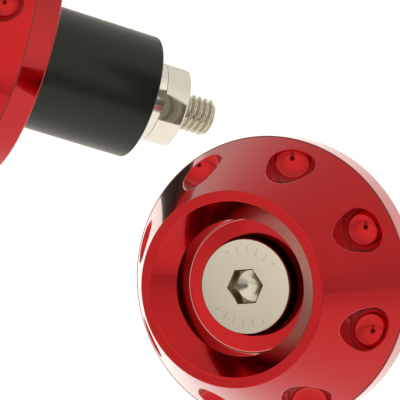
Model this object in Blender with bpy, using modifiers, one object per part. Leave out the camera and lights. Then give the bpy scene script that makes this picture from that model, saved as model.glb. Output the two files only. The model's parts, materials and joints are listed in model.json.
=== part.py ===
"""A pair of round bar ends for handlebars, lying on a table as they come out of the bag.

Each bar end is a turned weight with a dished face and a ring of eight milled pockets, held
by a countersunk screw that runs through a rubber plug into an expander nut. Turning the
screw draws the nut forward, and its taper squeezes the plug until it grips inside the bar.

Every piece is modelled about its own bar end's axis: +Z runs out through the dished face,
and depths are measured back from the front lip. An empty at the lip's centre then lays
the whole bar end down on its rear rim and on the end of its plug.
"""
import math

import bpy
from mathutils import Matrix

MM = 0.001
GAP = 0.3 * MM                 # running clearance between pieces that touch
MERGE = 0.0001                 # merge distance, metres
ROUND_STEPS = 48               # facets round a large turned piece
SMALL_STEPS = 20               # facets round a pocket
ARC_STEPS = 5                  # facets from a pocket's wall to the bottom of its round end

# Weight: the red turned body
LENGTH = 16.0 * MM
LIP_OUTER_R = 12.15 * MM
LIP_INNER_R = 10.95 * MM
CONE_DEPTH = 12.0 * MM
CONE_REAR_R = 18.55 * MM
BAND_R = 18.7 * MM
EDGE = 0.3 * MM                # chamfer on the lip and on the rear rim
WALL_TOP_R = 8.55 * MM         # where the dish's funnel ends and its steep wall starts
WALL_TOP_DEPTH = 2.9 * MM
DISH_FLOOR_R = 8.45 * MM
DISH_DEPTH = 6.3 * MM
SEAT_R = 6.35 * MM             # mouth of the 90 degree countersink in the dish's floor,
SEAT_DEPTH = 6.6 * MM          # which falls towards it a little
BORE_R = 3.3 * MM              # clearance for the screw
RECESS_R = 10.4 * MM           # recess in the rear face that centres the plug
RECESS_DEPTH = 0.6 * MM

# Pockets: plunged into the cone by a ball-nosed cutter, along the bar end's axis
POCKET_COUNT = 8
POCKET_PHASE = {"left": math.radians(3.0), "right": math.radians(38.0)}
POCKET_RING_R = 16.85 * MM
POCKET_BALL_DEPTH = 7.5 * MM   # centre of the round end
POCKET_R = 3.0 * MM

# Countersunk hex socket screw, M6 x 45 nominal
SCREW_LENGTH = 44.4 * MM
SCREW_R = 3.0 * MM
HEAD_R = 6.0 * MM
HEAD_TOP_DEPTH = 4.6 * MM
HEAD_LAND = 0.3 * MM           # straight edge above the 90 degree cone
SOCKET_FLATS = 4.0 * MM
SOCKET_DEPTH = 2.4 * MM
SOCKET_PHASE = {"left": math.radians(30.0), "right": math.radians(17.0)}
SCREW_TIP_CHAMFER = 0.6 * MM

# Rubber plug
PLUG_R = 10.0 * MM
PLUG_END_DEPTH = 36.5 * MM
PLUG_EDGE = 0.4 * MM
PLUG_BORE_R = 3.8 * MM

# Expander nut: a taper inside the plug and a plain collar behind it
NUT_R = 6.45 * MM
NUT_BORE_R = SCREW_R + GAP
NUT_COLLAR_DEPTH = 38.8 * MM   # where the taper meets the collar
NUT_END_DEPTH = 42.9 * MM
NUT_TAPER_LENGTH = 7.5 * MM
NUT_NOSE_R = 4.4 * MM
NUT_CHAMFER = 0.5 * MM

# Where each bar end lies: its lip's centre on the table and the way its face points,
# as an angle from -Y towards +X
LAYOUT = {
    "right": {"centre": (23.3 * MM, -39.5 * MM), "heading": math.radians(-26.6)},
    "left": {"centre": (-23.3 * MM, 39.5 * MM), "heading": math.radians(-80.0)},
}

RED = (0.50, 0.008, 0.012, 1.0)
NICKEL = (0.62, 0.58, 0.50, 1.0)
BLACK = (0.012, 0.012, 0.012, 1.0)


def clear_scene():
    """Remove whatever the file holds, so that the build starts empty."""
    for obj in list(bpy.data.objects):
        bpy.data.objects.remove(obj, do_unlink=True)


def make_collection(name):
    """Add a named collection to the scene."""
    collection = bpy.data.collections.new(name)
    bpy.context.scene.collection.children.link(collection)
    return collection


def make_material(name, color, metallic, roughness):
    """A plain Principled material."""
    material = bpy.data.materials.new(name)
    material.use_nodes = True
    shader = material.node_tree.nodes["Principled BSDF"]
    shader.inputs["Base Color"].default_value = color
    shader.inputs["Metallic"].default_value = metallic
    shader.inputs["Roughness"].default_value = roughness
    return material


def turned(name, profile, steps, closed, collection):
    """Turn a profile of (radius, height) points once round +Z.

    The points run down the piece's outer side. A closed profile makes a ring, and an
    open one starts and ends on the axis.
    """
    mesh = bpy.data.meshes.new(name)
    count = len(profile)
    edges = [(i, i + 1) for i in range(count - 1)]
    if closed:
        edges.append((count - 1, 0))
    mesh.from_pydata([(radius, 0.0, height) for radius, height in profile], edges, [])
    obj = bpy.data.objects.new(name, mesh)
    collection.objects.link(obj)
    screw = obj.modifiers.new("Turn", "SCREW")
    screw.axis = "Z"
    screw.angle = math.tau
    screw.steps = steps
    screw.render_steps = steps
    screw.use_merge_vertices = True
    screw.merge_threshold = MERGE
    screw.use_smooth_shade = False
    return obj


def cut(target, cutter):
    """Subtract a cutter, which stays in the file as a wire outline."""
    cutter.hide_render = True
    cutter.display_type = "WIRE"
    boolean = target.modifiers.new("Cut " + cutter.name, "BOOLEAN")
    boolean.operation = "DIFFERENCE"
    boolean.solver = "EXACT"
    boolean.object = cutter


def place(obj, parent, matrix=None):
    """Hang a piece on its bar end's empty, at a matrix in the bar end's own frame."""
    obj.parent = parent
    obj.matrix_parent_inverse = Matrix.Identity(4)
    obj.matrix_basis = matrix if matrix is not None else Matrix.Identity(4)


def facet_down():
    """Half a facet about the axis, so that a round piece lies on a flat and not a corner."""
    return Matrix.Rotation(math.pi / ROUND_STEPS, 4, "Z")


def rest_tilt():
    """Angle between the axis and the table, from the rim and the plug's end touching it."""
    flat = math.cos(math.pi / ROUND_STEPS)
    drop = (BAND_R - PLUG_R) * flat
    run = (PLUG_END_DEPTH - PLUG_EDGE) - (LENGTH - EDGE)
    return math.atan2(drop, run)


def rest_height():
    """Height of the lip's centre above the table."""
    tilt = rest_tilt()
    flat_r = BAND_R * math.cos(math.pi / ROUND_STEPS)
    return (LENGTH - EDGE) * math.sin(tilt) + flat_r * math.cos(tilt)


def cone_radius(depth):
    """Radius of the weight's conical flank."""
    return LIP_OUTER_R + (CONE_REAR_R - LIP_OUTER_R) * depth / CONE_DEPTH


def pocket_frame(side, index):
    """Frame of one pocket, at the centre of its round end and parallel to the bar end's."""
    spin = Matrix.Rotation(POCKET_PHASE[side] + math.tau * index / POCKET_COUNT, 4, "Z")
    return spin @ Matrix.Translation((POCKET_RING_R, 0.0, -POCKET_BALL_DEPTH))


def weight_profile():
    """Outline of the weight, down its flank, across its rear and up through the dish."""
    return [
        (LIP_OUTER_R - EDGE, 0.0),
        (cone_radius(EDGE), -EDGE),
        (CONE_REAR_R, -CONE_DEPTH),
        (BAND_R, -CONE_DEPTH - (BAND_R - CONE_REAR_R)),
        (BAND_R, -LENGTH + EDGE),
        (BAND_R - EDGE, -LENGTH),
        (RECESS_R, -LENGTH),
        (RECESS_R, -LENGTH + RECESS_DEPTH),
        (BORE_R, -LENGTH + RECESS_DEPTH),
        (BORE_R, -SEAT_DEPTH - (SEAT_R - BORE_R)),
        (SEAT_R, -SEAT_DEPTH),
        (DISH_FLOOR_R, -DISH_DEPTH),
        (WALL_TOP_R, -WALL_TOP_DEPTH),
        (LIP_INNER_R, -EDGE),
        (LIP_INNER_R + EDGE, 0.0),
    ]


def pocket_profile():
    """Outline of a pocket's cutter: a straight side down to a ball nose."""
    profile = [(0.0, POCKET_BALL_DEPTH + MM), (POCKET_R, POCKET_BALL_DEPTH + MM)]
    for step in range(ARC_STEPS):
        angle = math.pi / 2.0 * step / ARC_STEPS
        profile.append((POCKET_R * math.cos(angle), -POCKET_R * math.sin(angle)))
    profile.append((0.0, -POCKET_R))
    return profile


def screw_profile():
    """Outline of the countersunk screw, head first."""
    top = -HEAD_TOP_DEPTH
    cone_top = top - HEAD_LAND
    tip = top - SCREW_LENGTH
    return [
        (0.0, top),
        (HEAD_R, top),
        (HEAD_R, cone_top),
        (SCREW_R, cone_top - (HEAD_R - SCREW_R)),
        (SCREW_R, tip + SCREW_TIP_CHAMFER),
        (SCREW_R - SCREW_TIP_CHAMFER, tip),
        (0.0, tip),
    ]


def plug_taper(depth):
    """Radius of the plug's bore, which clears the nut's taper by the running gap."""
    nose = NUT_COLLAR_DEPTH - NUT_TAPER_LENGTH
    slope = (NUT_R - NUT_NOSE_R) / NUT_TAPER_LENGTH
    return NUT_NOSE_R + GAP + (depth - nose) * slope


def plug_profile():
    """Outline of the rubber plug, a tube whose bore flares to take the nut."""
    front = LENGTH - RECESS_DEPTH + GAP
    flare = NUT_COLLAR_DEPTH - NUT_TAPER_LENGTH - GAP
    return [
        (PLUG_R - PLUG_EDGE, -front),
        (PLUG_R, -front - PLUG_EDGE),
        (PLUG_R, -PLUG_END_DEPTH + PLUG_EDGE),
        (PLUG_R - PLUG_EDGE, -PLUG_END_DEPTH),
        (plug_taper(PLUG_END_DEPTH), -PLUG_END_DEPTH),
        (plug_taper(flare), -flare),
        (PLUG_BORE_R, -flare),
        (PLUG_BORE_R, -front),
    ]


def nut_profile():
    """Outline of the expander nut: taper, plain collar, chamfered rear edge."""
    nose = NUT_COLLAR_DEPTH - NUT_TAPER_LENGTH
    return [
        (NUT_NOSE_R, -nose),
        (NUT_R, -NUT_COLLAR_DEPTH),
        (NUT_R, -NUT_END_DEPTH + NUT_CHAMFER),
        (NUT_R - NUT_CHAMFER, -NUT_END_DEPTH),
        (NUT_BORE_R, -NUT_END_DEPTH),
        (NUT_BORE_R, -nose),
    ]


def make_weight(side, parent, parts, cutters, material):
    """The turned weight with its ring of pockets."""
    weight = turned(side + "_weight", weight_profile(), ROUND_STEPS, True, parts)
    place(weight, parent, facet_down())
    for index in range(POCKET_COUNT):
        name = f"{side}_pocket_cutter_{index + 1}"
        cutter = turned(name, pocket_profile(), SMALL_STEPS, False, cutters)
        place(cutter, parent, pocket_frame(side, index))
        cut(weight, cutter)
    weight.data.materials.append(material)


def make_screw(side, parent, parts, cutters, material):
    """The countersunk screw with its hex socket."""
    screw = turned(side + "_screw", screw_profile(), ROUND_STEPS // 2, False, parts)
    place(screw, parent)
    corner_r = SOCKET_FLATS / math.sqrt(3.0)
    profile = [(0.0, MM), (corner_r, MM), (corner_r, -SOCKET_DEPTH), (0.0, -SOCKET_DEPTH)]
    socket = turned(side + "_socket_cutter", profile, 6, False, cutters)
    spin = Matrix.Rotation(SOCKET_PHASE[side], 4, "Z")
    place(socket, parent, Matrix.Translation((0.0, 0.0, -HEAD_TOP_DEPTH)) @ spin)
    cut(screw, socket)
    screw.data.materials.append(material)


def make_plug(side, parent, parts, material):
    """The rubber plug that grips inside the handlebar."""
    plug = turned(side + "_rubber_plug", plug_profile(), ROUND_STEPS, True, parts)
    place(plug, parent, facet_down())
    plug.data.materials.append(material)


def make_nut(side, parent, parts, material):
    """The expander nut that the screw draws into the plug."""
    nut = turned(side + "_expander_nut", nut_profile(), ROUND_STEPS // 2, True, parts)
    place(nut, parent)
    nut.data.materials.append(material)


def make_bar_end(side, parts, cutters, red, nickel, black):
    """One whole bar end, laid on its rim and its plug."""
    spot = LAYOUT[side]
    frame = bpy.data.objects.new(side + "_bar_end", None)
    parts.objects.link(frame)
    frame.location = (*spot["centre"], rest_height())
    frame.rotation_euler = (math.pi / 2.0 - rest_tilt(), 0.0, spot["heading"])
    make_weight(side, frame, parts, cutters, red)
    make_screw(side, frame, parts, cutters, nickel)
    make_plug(side, frame, parts, black)
    make_nut(side, frame, parts, nickel)
    return frame


def centre_on_origin(frames):
    """Shift both bar ends together, so that their box stands centred on the origin."""
    bpy.context.view_layer.update()
    depsgraph = bpy.context.evaluated_depsgraph_get()
    points = []
    for frame in frames:
        for obj in frame.children:
            if not obj.hide_render:
                shown = obj.evaluated_get(depsgraph)
                points.extend(shown.matrix_world @ vertex.co for vertex in shown.data.vertices)
    for axis in (0, 1):
        values = [point[axis] for point in points]
        middle = (min(values) + max(values)) / 2.0
        for frame in frames:
            frame.location[axis] -= middle


def build():
    """Both bar ends."""
    clear_scene()
    parts = make_collection("bar_ends")
    cutters = make_collection("cutters")
    red = make_material("red_anodised", RED, 1.0, 0.25)
    nickel = make_material("nickel_plate", NICKEL, 1.0, 0.22)
    black = make_material("black_rubber", BLACK, 0.0, 0.55)
    frames = [make_bar_end(side, parts, cutters, red, nickel, black) for side in LAYOUT]
    centre_on_origin(frames)


build()
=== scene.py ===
"""Looks for a pair of handlebar bar ends, lying on a pale table under soft studio light.

Every piece is a skin of rings, built about its own bar end's axis: +Z runs out through the
dished face, the origin is the middle of the front lip, and depths are measured back from it.
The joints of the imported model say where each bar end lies. Lengths are in metres.
"""
import json
import math

import bpy
import numpy as np
from mathutils import Matrix, Vector


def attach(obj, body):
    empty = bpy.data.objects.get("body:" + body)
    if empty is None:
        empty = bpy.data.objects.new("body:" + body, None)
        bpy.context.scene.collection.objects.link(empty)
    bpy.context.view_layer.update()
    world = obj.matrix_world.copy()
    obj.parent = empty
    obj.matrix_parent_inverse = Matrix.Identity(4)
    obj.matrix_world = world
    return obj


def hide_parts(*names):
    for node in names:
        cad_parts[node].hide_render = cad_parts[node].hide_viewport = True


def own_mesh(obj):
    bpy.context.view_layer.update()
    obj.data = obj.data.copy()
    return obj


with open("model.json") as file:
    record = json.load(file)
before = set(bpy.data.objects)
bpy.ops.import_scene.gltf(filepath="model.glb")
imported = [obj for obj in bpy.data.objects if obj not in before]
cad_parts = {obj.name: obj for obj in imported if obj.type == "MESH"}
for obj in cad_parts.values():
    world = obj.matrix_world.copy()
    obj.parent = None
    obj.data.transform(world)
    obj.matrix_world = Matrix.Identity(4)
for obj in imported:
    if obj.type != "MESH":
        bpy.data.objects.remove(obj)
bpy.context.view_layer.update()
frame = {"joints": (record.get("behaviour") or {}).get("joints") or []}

MM = 0.001
SIDES = ("right", "left")
ROUND = 192                    # points round a turned piece
FILLET_STEPS = 6               # facets in a rounded corner
WELD = 1e-6                    # points that round to the same multiple of this are one

# Weight: the red turned body
LENGTH = 16.0 * MM
LIP_OUTER_R = 12.15 * MM
LIP_INNER_R = 10.95 * MM
CONE_DEPTH = 12.0 * MM
CONE_REAR_R = 18.55 * MM
BAND_R = 18.7 * MM
WALL_TOP_R = 8.55 * MM         # where the dish's funnel ends and its steep wall starts
WALL_TOP_DEPTH = 2.9 * MM
DISH_FLOOR_R = 8.45 * MM
DISH_DEPTH = 6.3 * MM
SEAT_R = 6.35 * MM             # mouth of the countersink, in the dish's nearly flat floor
SEAT_DEPTH = 6.6 * MM
BORE_R = 3.3 * MM
RECESS_R = 10.4 * MM           # the plug sits in a shallow recess in the rear face
RECESS_DEPTH = 0.6 * MM

# Pockets milled into the cone by a ball-nosed cutter
POCKET_COUNT = 8
POCKET_PHASE = {"left": math.radians(3.0), "right": math.radians(38.0)}    # one sits here
POCKET_RING_R = 16.85 * MM
POCKET_BALL_DEPTH = 7.5 * MM   # of the middle of the cutter's ball
POCKET_R = 3.0 * MM
POCKET_EDGE = 0.16 * MM        # how far the rounded edge reaches on each side
POCKET_MIDDLE_DEPTH = 6.6 * MM    # a place inside the rim, from which bearings are taken
FLANK_TOP = 0.6 * MM           # the pocketed stretch of the cone
FLANK_END = 11.7 * MM
FLANK_RINGS = 8                # rings from the border of a pocket's share of flank to its rim
EDGE_RINGS = 5                 # rings over its rounded edge
POCKET_RINGS = 24              # rings down its wall

# Countersunk hex socket screw
SCREW_LENGTH = 44.4 * MM
SCREW_R = 3.0 * MM
THREAD_ROOT_R = 2.42 * MM
PITCH = 1.0 * MM
THREAD_START = 20.0 * MM
THREAD_CREST = 0.14            # width of the flat crest, as a share of the pitch
THREAD_FOOT = 0.24             # width of the flat root, likewise
PITCH_RINGS = 16               # rings in one pitch of thread
TIP_CHAMFER = 0.7 * MM
TIP_INSET = 0.05 * MM          # the flat tip has one more ring, this far inside its edge
HEAD_R = 6.0 * MM
HEAD_TOP_DEPTH = 4.6 * MM
HEAD_LAND = 0.3 * MM           # thickness of the head's rim, before its cone starts
HEAD_ROUNDING = 0.18 * MM
TICK_COUNT = 22.0              # round the whole head; only those at its top and bottom show
TICK_INNER_R = 4.1 * MM
TICK_OUTER_R = 5.0 * MM
SOCKET_FLATS = 4.0 * MM
SOCKET_CHAMFER = 0.15 * MM
DRILL_R = SOCKET_FLATS / 2.0 - 0.05 * MM    # the drilled hollow in the socket's bottom
DRILL_SLOPE = 0.4
SOCKET_REACH = 2.6 * MM        # everything this near the axis is socket, below the head's top
SOCKET_DEPTH = 2.4 * MM
SOCKET_PHASE = {"left": math.radians(30.0), "right": math.radians(17.0)}

# Rubber plug
PLUG_R = 10.0 * MM
PLUG_FRONT_DEPTH = 15.7 * MM
PLUG_END_DEPTH = 36.5 * MM
PLUG_BORE_R = 3.8 * MM
PLUG_SEAM_R = 7.0 * MM         # where its outline starts and ends, on its front face
FLARE_GAP = 0.3 * MM           # between the flare of the bore and the nut's taper
FLARE_LEAD = 0.8 * MM          # the flare starts this far ahead of the nut's nose
FLARE_STEP = 0.6 * MM          # length over which the bore opens into the flare

# Expander nut
NUT_R = 6.45 * MM
NUT_BORE_R = 3.3 * MM
NUT_COLLAR_DEPTH = 38.8 * MM
NUT_END_DEPTH = 42.9 * MM
NUT_TAPER_LENGTH = 7.5 * MM
NUT_NOSE_R = 4.4 * MM
NUT_NOSE_DEPTH = NUT_COLLAR_DEPTH - NUT_TAPER_LENGTH
NUT_SEAM_DEPTH = NUT_NOSE_DEPTH + 2.0 * MM  # where its outline starts and ends, in its bore
NUT_STEP = 0.06 * MM           # shoulder between the taper and the collar

# Camera: it looks at a spot on the table behind the near bar end
LOOK_FROM_RIGHT_LIP = Vector((-3.71, 66.72, -23.32)) * MM
CAMERA_ELEVATION = math.radians(28.23)
CAMERA_DISTANCE = 337.1 * MM
CAMERA_LENS = 195.8            # focal length in millimetres
CAMERA_SPOT = 11.0             # half-angle of the dark spot it makes in the tent, degrees

# Studio; headings are an azimuth and an elevation in degrees, as heading() counts them
KEY_HEADING = (-15.0, 45.0)    # the tent is brightest here
DIM_SIDE = (70.0, 0.0)         # the table is dimmest here, in reflections
TABLE_SIZE = 6.0
TABLE_GAP = 0.05 * MM          # keeps the table's face just under the pieces
CARD_HEADING = (29.0, 7.0)     # of the dark card, seen from the far nut
CARD_DISTANCE = 12.0 * MM
CARD_WIDTH = 11.0 * MM
CARD_HEIGHT = 44.0 * MM


# ---------------------------------------------------------------- outlines and rings


def unit(vector):
    """The vector at length 1, along its last axis."""
    return vector / np.linalg.norm(vector, axis=-1, keepdims=True)


def cone_radius(depth):
    """Radius of the weight's conical flank."""
    return LIP_OUTER_R + (CONE_REAR_R - LIP_OUTER_R) * depth / CONE_DEPTH


def rounded(corners):
    """Round off an outline of (radius, depth, fillet) corners.

    The corners run down the piece's outer side. Each row of the result is a radius, a
    depth, and the outward normal as its radial and rearward parts.
    """
    points = [np.array(corner[:2]) for corner in corners]
    rows = []
    for index, point in enumerate(points):
        if index in (0, len(points) - 1):
            tangent = unit(points[1] - point) if index == 0 else unit(point - points[-2])
            rows.append((*point, tangent[1], -tangent[0]))
            continue
        into = unit(point - points[index - 1])
        out = unit(points[index + 1] - point)
        turn = math.atan2(into[0] * out[1] - into[1] * out[0], into @ out)
        across = math.copysign(1.0, turn) * np.array([-into[1], into[0]])
        fillet = corners[index][2]
        start = point - into * fillet * math.tan(abs(turn) / 2.0)
        for step in range(FILLET_STEPS + 1):
            angle = abs(turn) * step / FILLET_STEPS
            along, side = math.sin(angle), 1.0 - math.cos(angle)
            tangent = math.cos(angle) * into + math.sin(angle) * across
            here = start + fillet * (along * into + side * across)
            rows.append((*here, tangent[1], -tangent[0]))
    return np.array(rows)


def turned(outline, phase=0.0):
    """Rings of points, and of normals, for an outline turned round the axis."""
    angles = phase + np.arange(ROUND) * math.tau / ROUND
    radius, depth, radial, rearward = (column[:, None] for column in outline.T)
    cos, sin = np.cos(angles), np.sin(angles)
    flat = np.ones(ROUND)
    points = np.stack([radius * cos, radius * sin, -depth * flat], axis=-1)
    normals = np.stack([radial * cos, radial * sin, -rearward * flat], axis=-1)
    return points, normals


def ring_faces(rows, columns):
    """Quads between neighbouring rings, which close round."""
    faces = []
    for row in range(rows - 1):
        for column in range(columns):
            after = (column + 1) % columns
            here, below = row * columns, (row + 1) * columns
            faces.append((here + column, below + column, below + after, here + after))
    return faces


def weld(points, faces):
    """Merge points that coincide, and drop what that leaves of a face with no area."""
    keys = np.round(points / WELD).astype(np.int64)
    _, first, merged = np.unique(keys, axis=0, return_index=True, return_inverse=True)
    merged = merged.reshape(-1)
    kept = []
    for face in faces:
        corners = list(dict.fromkeys(merged[list(face)].tolist()))
        if len(corners) > 2:
            kept.append(corners)
    return first, kept


def join_patches(patches):
    """Points, normals and faces of several patches of rings, each as one list."""
    points, normals, faces = [], [], []
    base = 0
    for patch_points, patch_normals in patches:
        rows, columns = patch_points.shape[:2]
        faces += [tuple(base + i for i in face) for face in ring_faces(rows, columns)]
        points.append(patch_points.reshape(-1, 3))
        normals.append(patch_normals.reshape(-1, 3))
        base += rows * columns
    return np.concatenate(points), np.concatenate(normals), faces


def make_piece(side, name, patches, material, sharp=None):
    """One object from patches of rings, placed in its bar end's frame.

    Each patch is its points and normals. With sharp set, the normals come from the faces
    instead, and edges steeper than that angle stay sharp.
    """
    points, normals, faces = join_patches(patches)
    first, faces = weld(points, faces)
    mesh = bpy.data.meshes.new(name)
    mesh.from_pydata(points[first].tolist(), [], faces)
    mesh.shade_smooth()
    if sharp is None:
        mesh.normals_split_custom_set_from_vertices(unit(normals[first]).tolist())
    else:
        mesh.set_sharp_from_angle(angle=sharp)
    mesh.materials.append(material)
    piece = bpy.data.objects.new(name, mesh)
    bpy.context.scene.collection.objects.link(piece)
    piece.matrix_world = bar_end_frame(side)
    return piece


def bar_end_frame(side):
    """Matrix of one bar end's own frame, from the axis of its screw's joint."""
    joint = next(j for j in frame["joints"] if j["name"] == side + "_screw_turn")
    axis = -Vector(joint["axis"]).normalized()
    across = Vector((0.0, 0.0, 1.0)).cross(axis).normalized()
    matrix = Matrix((across, axis.cross(across), axis)).transposed().to_4x4()
    matrix.translation = Vector(joint["pos_m"])
    return matrix


# ---------------------------------------------------------------- weight


def weight_outline():
    """From the flank's rear end round the band, the bore and the dish to the lip."""
    return rounded([
        (cone_radius(FLANK_END), FLANK_END, 0.0),
        (CONE_REAR_R, CONE_DEPTH, 0.05 * MM),
        (BAND_R, CONE_DEPTH + (BAND_R - CONE_REAR_R), 0.05 * MM),
        (BAND_R, LENGTH, 0.35 * MM),
        (RECESS_R, LENGTH, 0.1 * MM),
        (RECESS_R, LENGTH - RECESS_DEPTH, 0.1 * MM),
        (BORE_R, LENGTH - RECESS_DEPTH, 0.2 * MM),
        (BORE_R, SEAT_DEPTH + (SEAT_R - BORE_R), 0.2 * MM),
        (SEAT_R, SEAT_DEPTH, 0.1 * MM),
        (DISH_FLOOR_R, DISH_DEPTH, 0.12 * MM),
        (WALL_TOP_R, WALL_TOP_DEPTH, 0.3 * MM),
        (LIP_INNER_R, 0.0, 0.3 * MM),
        (LIP_OUTER_R, 0.0, 0.25 * MM),
        (cone_radius(FLANK_TOP), FLANK_TOP, 0.0),
    ])


def pocket_point(reach, around, angle):
    """A point of a pocket's wall, and the wall's outward normal there.

    The reach is the distance along the wall from the pocket's deepest point, around is the
    angle about the cutter's axis, and angle is where the pocket sits round the cone.
    """
    quarter = POCKET_R * math.pi / 2.0
    slope = np.minimum(reach, quarter) / POCKET_R
    radius = POCKET_R * np.sin(slope)
    depth = POCKET_BALL_DEPTH + POCKET_R * np.cos(slope) - np.maximum(reach - quarter, 0.0)
    outward = np.array([math.cos(angle), math.sin(angle), 0.0])
    sideways = np.array([-math.sin(angle), math.cos(angle), 0.0])
    spoke = np.cos(around)[..., None] * outward + np.sin(around)[..., None] * sideways
    down = np.array([0.0, 0.0, -1.0])
    point = POCKET_RING_R * outward + radius[..., None] * spoke + depth[..., None] * down
    normal = -np.sin(slope)[..., None] * spoke - np.cos(slope)[..., None] * down
    return point, normal


def cone_point(turn, depth):
    """A point of the cone, and the cone's outward normal there."""
    radius = cone_radius(depth)
    point = np.stack([radius * np.cos(turn), radius * np.sin(turn), -depth], axis=-1)
    rise = (CONE_REAR_R - LIP_OUTER_R) / CONE_DEPTH
    flat = np.full_like(turn, rise)
    normal = unit(np.stack([np.cos(turn), np.sin(turn), flat], axis=-1))
    return point, normal


def rim_reach(around, angle):
    """Reach along a pocket's wall at which it comes out through the cone."""
    low = np.zeros_like(around)
    high = np.full_like(around, POCKET_R * math.pi / 2.0 + POCKET_BALL_DEPTH)
    for _ in range(50):
        middle = (low + high) / 2.0
        point, _ = pocket_point(middle, around, angle)
        outside = np.hypot(point[..., 0], point[..., 1]) > cone_radius(-point[..., 2])
        high = np.where(outside, middle, high)
        low = np.where(outside, low, middle)
    return (low + high) / 2.0


def sector_border(per_side):
    """Border of one pocket's share of the flank, as turns from its middle and depths."""
    half = math.pi / POCKET_COUNT
    along = np.arange(per_side) / per_side
    down = FLANK_TOP + (FLANK_END - FLANK_TOP) * along
    up = FLANK_END - (FLANK_END - FLANK_TOP) * along
    across = half - 2.0 * half * along
    ones = np.ones(per_side)
    turn = np.concatenate([half * ones, across, -half * ones, -across])
    depth = np.concatenate([down, FLANK_END * ones, up, FLANK_TOP * ones])
    return turn, depth


def bearing(turn, depth):
    """Direction from a pocket's middle, on the flank laid out flat."""
    return np.arctan2(depth - POCKET_MIDDLE_DEPTH, turn * POCKET_RING_R)


def turn_from_middle(points, angle):
    """How far points lie round the cone from a pocket's middle, at most half a turn."""
    turn = np.arctan2(points[:, 1], points[:, 0]) - angle
    return (turn + math.pi) % math.tau - math.pi


def facing_border(border_turn, border_depth, angle):
    """For each point of the border, the angle about the cutter's axis of the rim facing it."""
    around = np.linspace(-math.pi, math.pi, 721)
    rim, _ = pocket_point(rim_reach(around, angle), around, angle)
    bearings = np.unwrap(bearing(turn_from_middle(rim, angle), -rim[:, 2]))
    order = np.argsort(bearings)
    start = bearings[order][0]
    wanted = (bearing(border_turn, border_depth) - start) % math.tau + start
    return np.interp(wanted, bearings[order], around[order])


def rim_shoulder(rim, around, angle):
    """Points on the cone where the rounding of a pocket's edge starts."""
    ahead = around + 0.001
    beside, _ = pocket_point(rim_reach(ahead, angle), ahead, angle)
    _, cone_normal = cone_point(np.arctan2(rim[:, 1], rim[:, 0]), -rim[:, 2])
    away = unit(np.cross(unit(beside - rim), cone_normal))
    return rim + POCKET_EDGE * away


def pocket_patch(angle):
    """Rings from the border of one pocket's share of the flank to the pocket's bottom."""
    border_turn, border_depth = sector_border(ROUND // POCKET_COUNT)
    around = facing_border(border_turn, border_depth, angle)
    reach = rim_reach(around, angle)
    rim, _ = pocket_point(reach, around, angle)
    shoulder = rim_shoulder(rim, around, angle)
    shoulder_turn = turn_from_middle(shoulder, angle)
    rings = []
    for ring in range(FLANK_RINGS + 1):
        share = ring / FLANK_RINGS
        turn = border_turn + (shoulder_turn - border_turn) * share
        depth = border_depth + (-shoulder[:, 2] - border_depth) * share
        rings.append(cone_point(turn + angle, depth))
    top, top_normal = rings[-1]
    foot, foot_normal = pocket_point(reach - POCKET_EDGE, around, angle)
    for ring in range(1, EDGE_RINGS):
        share = ring / EDGE_RINGS
        bend = (1 - share) ** 2 * top + 2 * share * (1 - share) * rim + share ** 2 * foot
        rings.append((bend, unit((1 - share) * top_normal + share * foot_normal)))
    for ring in range(POCKET_RINGS + 1):
        share = 1.0 - ring / POCKET_RINGS
        rings.append(pocket_point((reach - POCKET_EDGE) * share, around, angle))
    points, normals = zip(*rings)
    return np.stack(points), np.stack(normals)


def make_weight(side, material):
    """The weight: one turned skin, and a patch of flank with its pocket eight times."""
    phase = POCKET_PHASE[side]
    patches = [turned(weight_outline(), phase)]
    for index in range(POCKET_COUNT):
        patches.append(pocket_patch(phase + math.tau * index / POCKET_COUNT))
    weight = make_piece(side, side + "_weight_turned", patches, material)
    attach(weight, side + "_bar_end")
    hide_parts(side + "_weight")


# ---------------------------------------------------------------- screw


def hex_radius(angles, flats):
    """Distance from the axis to a hexagon's side."""
    sixth = math.pi / 3.0
    return flats / 2.0 / np.cos((angles % sixth) - sixth / 2.0)


def level_ring(radius, depth, phase):
    """One ring at one depth, with a radius for each point."""
    angles = phase + np.arange(ROUND) * math.tau / ROUND
    radius = np.broadcast_to(radius, angles.shape)
    flat = np.full_like(angles, -depth)
    return np.stack([radius * np.cos(angles), radius * np.sin(angles), flat], axis=-1)


def head_rings(phase):
    """Rings from the bottom of the hex socket, out over the head and down its cone."""
    angles = np.arange(ROUND) * math.tau / ROUND
    walls = hex_radius(angles, SOCKET_FLATS)
    top = HEAD_TOP_DEPTH
    floor = top + SOCKET_DEPTH
    flat_end = HEAD_R - HEAD_ROUNDING
    rings = [
        level_ring(0.0, floor + DRILL_R * DRILL_SLOPE, phase),
        level_ring(DRILL_R / 2.0, floor + DRILL_R / 2.0 * DRILL_SLOPE, phase),
        level_ring(DRILL_R, floor, phase),
        level_ring(walls, floor, phase),
        level_ring(walls, top + SOCKET_CHAMFER, phase),
        level_ring(walls + SOCKET_CHAMFER, top, phase),
        level_ring(flat_end, top, phase),
    ]
    steps = 5
    for step in range(1, steps + 1):
        angle = math.pi / 2.0 * step / steps
        radius = flat_end + HEAD_ROUNDING * math.sin(angle)
        rings.append(level_ring(radius, top + HEAD_ROUNDING * (1.0 - math.cos(angle)), phase))
    rings.append(level_ring(HEAD_R, top + HEAD_LAND, phase))
    rings.append(level_ring(SCREW_R, top + HEAD_LAND + HEAD_R - SCREW_R, phase))
    return rings


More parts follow.
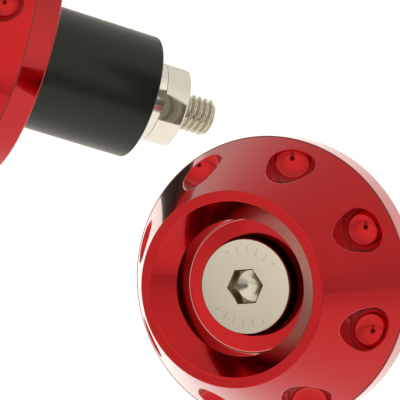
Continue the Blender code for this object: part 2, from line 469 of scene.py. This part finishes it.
def thread_rings(phase):
    """Rings down the threaded shank, whose radius follows the helix."""
    angles = phase + np.arange(ROUND) * math.tau / ROUND
    tip = HEAD_TOP_DEPTH + SCREW_LENGTH
    rings = [level_ring(SCREW_R, THREAD_START - PITCH, phase)]
    for step in range(int(round((tip - THREAD_START) / PITCH)) * PITCH_RINGS + 1):
        depth = THREAD_START + step * PITCH / PITCH_RINGS
        if depth > tip:
            break
        place = (depth / PITCH - angles / math.tau) % 1.0
        flank = np.abs(place * 2.0 - 1.0)
        rise = np.clip((flank - THREAD_FOOT) / (1.0 - THREAD_CREST - THREAD_FOOT), 0.0, 1.0)
        fade = min(1.0, step / (2.0 * PITCH_RINGS))
        radius = SCREW_R - (SCREW_R - THREAD_ROOT_R) * (1.0 - rise) * fade
        limit = SCREW_R - TIP_CHAMFER + (tip - depth)
        rings.append(level_ring(np.minimum(radius, limit), depth, phase))
    rings.append(level_ring(SCREW_R - TIP_CHAMFER - TIP_INSET, tip, phase))
    rings.append(level_ring(0.0, tip, phase))
    return rings


def make_screw(side, material):
    """The screw, with a true thread and hex socket."""
    phase = SOCKET_PHASE[side]
    rings = np.stack(head_rings(phase) + thread_rings(phase))
    patch = (rings, np.ones_like(rings))    # the ones only fill the place of the normals
    screw = make_piece(side, side + "_screw_threaded", [patch], material, math.radians(18.0))
    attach(screw, side + "_screw")
    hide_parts(side + "_screw")


# ---------------------------------------------------------------- plug and nut


def plug_flare(depth):
    """Radius of the plug's bore where it clears the nut's taper."""
    slope = (NUT_R - NUT_NOSE_R) / NUT_TAPER_LENGTH
    return NUT_NOSE_R + FLARE_GAP + (depth - NUT_NOSE_DEPTH) * slope


def make_plug(side, material):
    """The rubber plug, with a mesh of its own; the real one shortens as the nut is drawn into it."""
    flare = NUT_NOSE_DEPTH - FLARE_LEAD
    outline = rounded([
        (PLUG_SEAM_R, PLUG_FRONT_DEPTH, 0.0),
        (PLUG_R, PLUG_FRONT_DEPTH, 0.3 * MM),
        (PLUG_R, PLUG_END_DEPTH, 0.35 * MM),
        (plug_flare(PLUG_END_DEPTH), PLUG_END_DEPTH, 0.15 * MM),
        (plug_flare(flare), flare, 0.1 * MM),
        (PLUG_BORE_R, flare - FLARE_STEP, 0.1 * MM),
        (PLUG_BORE_R, PLUG_FRONT_DEPTH, 0.2 * MM),
        (PLUG_SEAM_R, PLUG_FRONT_DEPTH, 0.0),
    ])
    plug = make_piece(side, side + "_plug_rubber", [turned(outline)], material)
    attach(plug, side + "_bar_end")
    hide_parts(side + "_rubber_plug")
    matrix = bar_end_frame(side)
    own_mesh(plug)


def make_nut(side, material):
    """The expander nut: a taper inside the plug and a plain collar behind it."""
    outline = rounded([
        (NUT_BORE_R, NUT_SEAM_DEPTH, 0.0),
        (NUT_BORE_R, NUT_NOSE_DEPTH, 0.2 * MM),
        (NUT_NOSE_R, NUT_NOSE_DEPTH, 0.25 * MM),
        (NUT_R - NUT_STEP, NUT_COLLAR_DEPTH, 0.03 * MM),
        (NUT_R, NUT_COLLAR_DEPTH, 0.1 * MM),
        (NUT_R, NUT_END_DEPTH, 0.28 * MM),
        (NUT_BORE_R, NUT_END_DEPTH, 0.2 * MM),
        (NUT_BORE_R, NUT_SEAM_DEPTH, 0.0),
    ])
    nut = make_piece(side, side + "_nut_turned", [turned(outline)], material)
    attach(nut, side + "_nut")
    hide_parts(side + "_expander_nut")


# ---------------------------------------------------------------- materials


def new_material(name):
    """A material with its node tree and its shader."""
    material = bpy.data.materials.new(name)
    material.use_nodes = True
    return material, material.node_tree, material.node_tree.nodes["Principled BSDF"]


def feed(tree, socket, value):
    """Link an input to another node's output, or set its value."""
    if isinstance(value, bpy.types.NodeSocket):
        tree.links.new(value, socket)
    else:
        socket.default_value = value


def feed_all(tree, node, values):
    """Link or set several inputs of a node, by name."""
    for name, value in values.items():
        feed(tree, node.inputs[name], value)


def add_node(tree, kind, settings=None, **inputs):
    """Add a node, set its settings, and set or link its inputs by name."""
    node = tree.nodes.new(kind)
    for key, value in (settings or {}).items():
        setattr(node, key, value)
    feed_all(tree, node, {key.replace("_", " "): value for key, value in inputs.items()})
    return node


def calculate(tree, operation, *values):
    """Result of one math operation."""
    node = add_node(tree, "ShaderNodeMath", {"operation": operation})
    for socket, value in zip(node.inputs, values):
        feed(tree, socket, value)
    return node.outputs["Value"]


def multiply(tree, product, *factors):
    """Product of several values."""
    for factor in factors:
        product = calculate(tree, "MULTIPLY", product, factor)
    return product


def noise(tree, vector, scale):
    """Noise between 0 and 1."""
    node = add_node(tree, "ShaderNodeTexNoise", Vector=vector, Scale=scale, Detail=3.0)
    return node.outputs["Fac"]


def remap(tree, value, low, high):
    """Carry 0 to 1 over to low to high."""
    node = add_node(tree, "ShaderNodeMapRange", Value=value, To_Min=low, To_Max=high)
    return node.outputs["Result"]


def smooth_step(tree, value, start, end, low, high):
    """Ease from low to high while a value goes from start to end."""
    node = add_node(tree, "ShaderNodeMapRange", {"interpolation_type": "SMOOTHSTEP"},
                    Value=value, From_Min=start, From_Max=end, To_Min=low, To_Max=high)
    return node.outputs["Result"]


def between(tree, value, low, high, blur):
    """1 from low to high and 0 outside, with soft borders."""
    rise = smooth_step(tree, value, low - blur, low, 0.0, 1.0)
    fall = smooth_step(tree, value, high, high + blur, 1.0, 0.0)
    return multiply(tree, rise, fall)


def mix_color(tree, factor, first, second):
    """Blend from one colour to another."""
    node = add_node(tree, "ShaderNodeMix", {"data_type": "RGBA"})
    for name, value in (("Factor", factor), ("A", first), ("B", second)):
        feed(tree, next(s for s in node.inputs if s.enabled and s.name == name), value)
    return next(s for s in node.outputs if s.enabled)


def object_point(tree):
    """Coordinates in the piece's own frame."""
    return add_node(tree, "ShaderNodeTexCoord").outputs["Object"]


def height_and_radius(tree, point):
    """Height along a turned piece's axis, and distance from the axis."""
    axes = add_node(tree, "ShaderNodeSeparateXYZ", Vector=point)
    flat = add_node(tree, "ShaderNodeCombineXYZ", X=axes.outputs["X"], Y=axes.outputs["Y"])
    length = add_node(tree, "ShaderNodeVectorMath", {"operation": "LENGTH"})
    tree.links.new(flat.outputs["Vector"], length.inputs[0])
    return axes.outputs["Z"], length.outputs["Value"]


def add_bump(tree, shader, height, strength, distance):
    """Give a shader bump from a height."""
    bump = add_node(tree, "ShaderNodeBump", Height=height, Strength=strength, Distance=distance)
    feed(tree, shader.inputs["Normal"], bump.outputs["Normal"])


def dish_wall(tree, height, radius):
    """1 on the dish's steep wall, where darker shade is painted."""
    across = between(tree, radius, DISH_FLOOR_R, WALL_TOP_R, blur=0.05 * MM)
    along = between(tree, height, 0.08 * MM - DISH_DEPTH, -WALL_TOP_DEPTH, blur=0.1 * MM)
    return multiply(tree, across, along)


def dish_foot(tree, height, radius):
    """1 on the thin ring of floor at the foot of that wall, where a highlight is painted."""
    across = between(tree, radius, DISH_FLOOR_R - 0.12 * MM, DISH_FLOOR_R, blur=0.04 * MM)
    along = between(tree, height, -SEAT_DEPTH, 0.1 * MM - DISH_DEPTH, blur=0.02 * MM)
    return multiply(tree, across, along)


def band_edge(tree, height, radius):
    """1 on the fine line between the flank and the band, where a dark line of shade is painted."""
    across = between(tree, radius, CONE_REAR_R - 0.1 * MM, BAND_R, blur=0.1 * MM)
    along = between(tree, height, -CONE_DEPTH - 0.12 * MM, 0.04 * MM - CONE_DEPTH, blur=0.04 * MM)
    return multiply(tree, across, along)


def red_anodised():
    """Polished aluminium under a clear red anodised layer."""
    material, tree, shader = new_material("red_anodised")
    point = object_point(tree)
    height, radius = height_and_radius(tree, point)
    edge = band_edge(tree, height, radius)
    base_red = (0.43, 0.003, 0.005, 1.0)
    bright_red = (0.48, 0.005, 0.008, 1.0)
    # painted shade: the dish's steep wall is coloured darker to stand in for shade
    wall_shade_red = (0.32, 0.001, 0.001, 1.0)
    # painted highlight: a pale pink line on the floor at the foot of the dish's wall
    foot_highlight_pink = (0.75, 0.22, 0.2, 1.0)
    # painted shade: a dark line where the flank steps to the band
    edge_shade_red = (0.2, 0.008, 0.006, 1.0)
    color = mix_color(tree, noise(tree, point, 160.0), base_red, bright_red)
    color = mix_color(tree, dish_wall(tree, height, radius), color, wall_shade_red)
    color = mix_color(tree, dish_foot(tree, height, radius), color, foot_highlight_pink)
    color = mix_color(tree, edge, color, edge_shade_red)
    # the painted dark line of shade also loses most of its shine
    shine = remap(tree, edge, 1.0, 0.35)
    coat = smooth_step(tree, height, 0.2 * MM - CONE_DEPTH, -CONE_DEPTH - 0.2 * MM, 1.28, 1.42)
    feed_all(tree, shader, {
        "Base Color": color,
        "Roughness": remap(tree, noise(tree, point, 900.0), 0.09, 0.16),
        "Metallic": shine,
        "Specular IOR Level": shine,
        "Coat Weight": shine,
        "Coat IOR": coat,
        "Coat Roughness": 0.03,
    })
    return material


def nickel_plate():
    """Warm nickel plate, as on the nut."""
    material, tree, shader = new_material("nickel_plate")
    feed_all(tree, shader, {
        "Base Color": (0.76, 0.73, 0.65, 1.0),
        "Roughness": remap(tree, noise(tree, object_point(tree), 700.0), 0.08, 0.16),
        "Metallic": 1.0,
    })
    return material


def head_ticks(tree, point, radius):
    """1 on short radial ticks at the top and bottom of the screw's head."""
    axes = add_node(tree, "ShaderNodeSeparateXYZ", Vector=point)
    turn = calculate(tree, "ARCTAN2", axes.outputs["Y"], axes.outputs["X"])
    wave = calculate(tree, "COSINE", calculate(tree, "MULTIPLY", turn, TICK_COUNT))
    crests = smooth_step(tree, wave, 0.86, 0.98, 0.0, 1.0)
    ring = between(tree, radius, TICK_INNER_R, TICK_OUTER_R, blur=0.15 * MM)
    offset = calculate(tree, "ABSOLUTE", axes.outputs["Y"])
    ends = smooth_step(tree, offset, 3.3 * MM, 3.5 * MM, 0.0, 1.0)
    return multiply(tree, crests, ring, ends)


def inside_socket(tree, height, radius):
    """1 on the walls of the screw's hex socket, where shadow is painted."""
    top, bottom = -HEAD_TOP_DEPTH, -HEAD_TOP_DEPTH - SOCKET_DEPTH
    along = between(tree, height, bottom + 0.1 * MM, top - 0.1 * MM, blur=0.1 * MM)
    near = smooth_step(tree, radius, SOCKET_REACH, SOCKET_REACH + 0.02 * MM, 1.0, 0.0)
    return multiply(tree, along, near)


def screw_plate():
    """Duller nickel plate, with painted shadow in the socket and short ticks stamped into the head.
    """
    material, tree, shader = new_material("nickel_plate_screw")
    point = object_point(tree)
    height, radius = height_and_radius(tree, point)
    tick = head_ticks(tree, point, radius)
    plate = (0.56, 0.52, 0.43, 1.0)
    # painted shadow: the socket's walls are darkened
    shadow = (0.20, 0.17, 0.09, 1.0)
    tick_brown = (0.36, 0.31, 0.23, 1.0)
    color = mix_color(tree, inside_socket(tree, height, radius), plate, shadow)
    color = mix_color(tree, multiply(tree, tick, noise(tree, point, 1500.0)), color, tick_brown)
    feed_all(tree, shader, {
        "Base Color": color,
        "Roughness": remap(tree, noise(tree, point, 700.0), 0.14, 0.24),
        "Metallic": 1.0,
    })
    add_bump(tree, shader, tick, strength=-0.5, distance=0.1 * MM)
    return material


def black_rubber():
    """Moulded black rubber."""
    material, tree, shader = new_material("black_rubber")
    point = object_point(tree)
    feed_all(tree, shader, {
        "Base Color": (0.002, 0.0035, 0.0032, 1.0),
        "Specular IOR Level": 0.36,
        "Specular Tint": (0.95, 1.0, 0.86, 1.0),
        "Roughness": remap(tree, noise(tree, point, 900.0), 0.38, 0.48),
        "Coat Weight": 0.3,
        "Coat IOR": 1.35,
        "Coat Roughness": 0.22,
        "Coat Tint": (0.96, 1.0, 0.9, 1.0),
        "Sheen Weight": 0.25,
        "Sheen Roughness": 0.25,
        "Sheen Tint": (0.85, 0.9, 0.7, 1.0),
    })
    add_bump(tree, shader, noise(tree, point, 3000.0), strength=0.15, distance=0.05 * MM)
    return material


# ---------------------------------------------------------------- studio


def heading(azimuth, elevation):
    """Unit direction, its azimuth counted in degrees from the front towards the right."""
    azimuth, elevation = math.radians(azimuth), math.radians(elevation)
    level = math.cos(elevation)
    return (math.sin(azimuth) * level, -math.cos(azimuth) * level, math.sin(elevation))


def reach_along(tree, vector, way):
    """How far a vector reaches along a unit one."""
    node = add_node(tree, "ShaderNodeVectorMath", {"operation": "DOT_PRODUCT"})
    feed(tree, node.inputs[0], vector)
    feed(tree, node.inputs[1], way)
    return node.outputs["Value"]


def toward(tree, direction, azimuth, elevation):
    """How far a vector reaches one way: 1 for a unit one that points there, -1 for one away."""
    return reach_along(tree, direction, heading(azimuth, elevation))


def table_material():
    """Glowing white, which reflections see dimmer towards one side."""
    material, tree, shader = new_material("pale_table")
    reach = toward(tree, object_point(tree), *DIM_SIDE)
    reflected = smooth_step(tree, reach, 0.03, 0.3, 1.14, 0.86)
    seen = remap(tree, add_node(tree, "ShaderNodeLightPath").outputs["Is Camera Ray"], 0.0, 1.14)
    feed_all(tree, shader, {
        "Base Color": (0.02, 0.02, 0.02, 1.0),
        "Roughness": 0.9,
        "Specular IOR Level": 0.0,
        "Emission Color": (1.0, 0.94, 0.885, 1.0),
        "Emission Strength": calculate(tree, "MAXIMUM", reflected, seen),
    })
    return material


def make_floor():
    """A pale table, lit from below as a light table is."""
    bpy.ops.mesh.primitive_plane_add(size=TABLE_SIZE, location=(0.0, 0.0, -TABLE_GAP))
    floor = bpy.context.object
    floor.name = "table"
    floor.data.materials.append(table_material())


def streaks(tree, across):
    """Uneven streaks, lying square to one direction."""
    line = add_node(tree, "ShaderNodeCombineXYZ", X=reach_along(tree, object_point(tree), across))
    return noise(tree, line.outputs["Vector"], 1500.0)


def card_material():
    """Black, with faintly glowing streaks lying square to the far bar end's axis: a painted
    reflection.
    """
    material, tree, shader = new_material("dark_card")
    lengthwise = bar_end_frame("left").to_3x3() @ Vector((0.0, 0.0, 1.0))
    feed_all(tree, shader, {
        "Base Color": (0.0, 0.0, 0.0, 1.0),
        "Specular IOR Level": 0.0,
        "Emission Color": (1.0, 0.86, 0.66, 1.0),
        # painted reflection: the streaks glow only to be seen in the far nut's plating
        "Emission Strength": smooth_step(tree, streaks(tree, lengthwise), 0.4, 0.65, 0.06, 0.45),
    })
    return material


def make_card():
    """A small dark card beside the far nut, out of the camera's sight, that paints a reflection in
    the plating.
    """
    collar = bar_end_frame("left") @ Vector((0.0, 0.0, -(NUT_COLLAR_DEPTH + NUT_END_DEPTH) / 2))
    look = Vector(heading(0.0, math.degrees(CAMERA_ELEVATION)))
    way = Vector(heading(*CARD_HEADING))
    middle = collar + (look + way).normalized() * NUT_R + way * CARD_DISTANCE
    across = way.cross(Vector((0.0, 0.0, 1.0))).normalized() * CARD_WIDTH / 2
    up = across.cross(way).normalized() * CARD_HEIGHT / 2
    corners = [middle - across - up, middle + across - up, middle + across + up, middle - across + up]
    mesh = bpy.data.meshes.new("dark_card")
    mesh.from_pydata(corners, [], [(0, 1, 2, 3)])
    mesh.materials.append(card_material())
    card = bpy.data.objects.new("dark_card", mesh)
    bpy.context.scene.collection.objects.link(card)
    card.visible_camera = False


def camera_stand(tree, axes):
    """1 where the camera's stand hides the tent: narrow, low and in front."""
    aside = calculate(tree, "ABSOLUTE", axes.outputs["X"])
    narrow = smooth_step(tree, aside, 0.06, 0.2, 1.0, 0.0)
    low = smooth_step(tree, axes.outputs["Z"], 0.3, 0.5, 1.0, 0.0)
    front = smooth_step(tree, axes.outputs["Y"], -0.5, -0.3, 1.0, 0.0)
    return multiply(tree, narrow, low, front)


def tent_strength(tree):
    """Brightness of the tent in each direction."""
    direction = add_node(tree, "ShaderNodeTexCoord").outputs["Generated"]
    axes = add_node(tree, "ShaderNodeSeparateXYZ", Vector=direction)
    key = smooth_step(tree, toward(tree, direction, *KEY_HEADING), 0.35, 1.0, 0.85, 1.25)
    low = smooth_step(tree, axes.outputs["Z"], -0.02, 0.35, 0.78, 1.0)
    lens = math.radians(CAMERA_SPOT)
    spot = toward(tree, direction, 0.0, math.degrees(CAMERA_ELEVATION))
    hole = smooth_step(tree, spot, math.cos(lens * 1.3), math.cos(lens * 0.8), 1.0, 0.1)
    shade = remap(tree, camera_stand(tree, axes), 1.0, 0.5)
    return multiply(tree, key, low, hole, shade)


def make_world():
    """A white tent: brightest high in front, dimmer low down, dark where the camera looks in."""
    world = bpy.data.worlds.new("tent")
    bpy.context.scene.world = world
    world.use_nodes = True
    tree = world.node_tree
    tent = tree.nodes["Background"]
    feed_all(tree, tent, {"Color": (1.0, 0.955, 0.885, 1.0), "Strength": tent_strength(tree)})
    white = add_node(tree, "ShaderNodeBackground", Color=(1.0, 1.0, 1.0, 1.0), Strength=1.0)
    camera_ray = add_node(tree, "ShaderNodeLightPath").outputs["Is Camera Ray"]
    mix = add_node(tree, "ShaderNodeMixShader")
    for socket, value in zip(mix.inputs, (camera_ray, tent.outputs[0], white.outputs[0])):
        feed(tree, socket, value)
    feed(tree, tree.nodes["World Output"].inputs["Surface"], mix.outputs["Shader"])


def make_camera():
    """The camera, at the photograph's angle and distance."""
    look = bar_end_frame("right").translation + LOOK_FROM_RIGHT_LIP
    back = Vector((0.0, -math.cos(CAMERA_ELEVATION), math.sin(CAMERA_ELEVATION)))
    data = bpy.data.cameras.new("camera")
    data.lens = CAMERA_LENS
    data.clip_start = 0.01
    camera = bpy.data.objects.new("camera", data)
    bpy.context.scene.collection.objects.link(camera)
    camera.location = look + back * CAMERA_DISTANCE
    camera.rotation_euler = (-back).to_track_quat("-Z", "Y").to_euler()
    bpy.context.scene.camera = camera


def main():
    """Build both bar ends and the studio."""
    red = red_anodised()
    nickel = nickel_plate()
    dull_nickel = screw_plate()
    black = black_rubber()
    for side in SIDES:
        make_weight(side, red)
        make_screw(side, dull_nickel)
        make_plug(side, black)
        make_nut(side, nickel)
    make_floor()
    make_card()
    make_world()
    make_camera()
    bpy.context.scene.view_settings.view_transform = "Standard"


main()
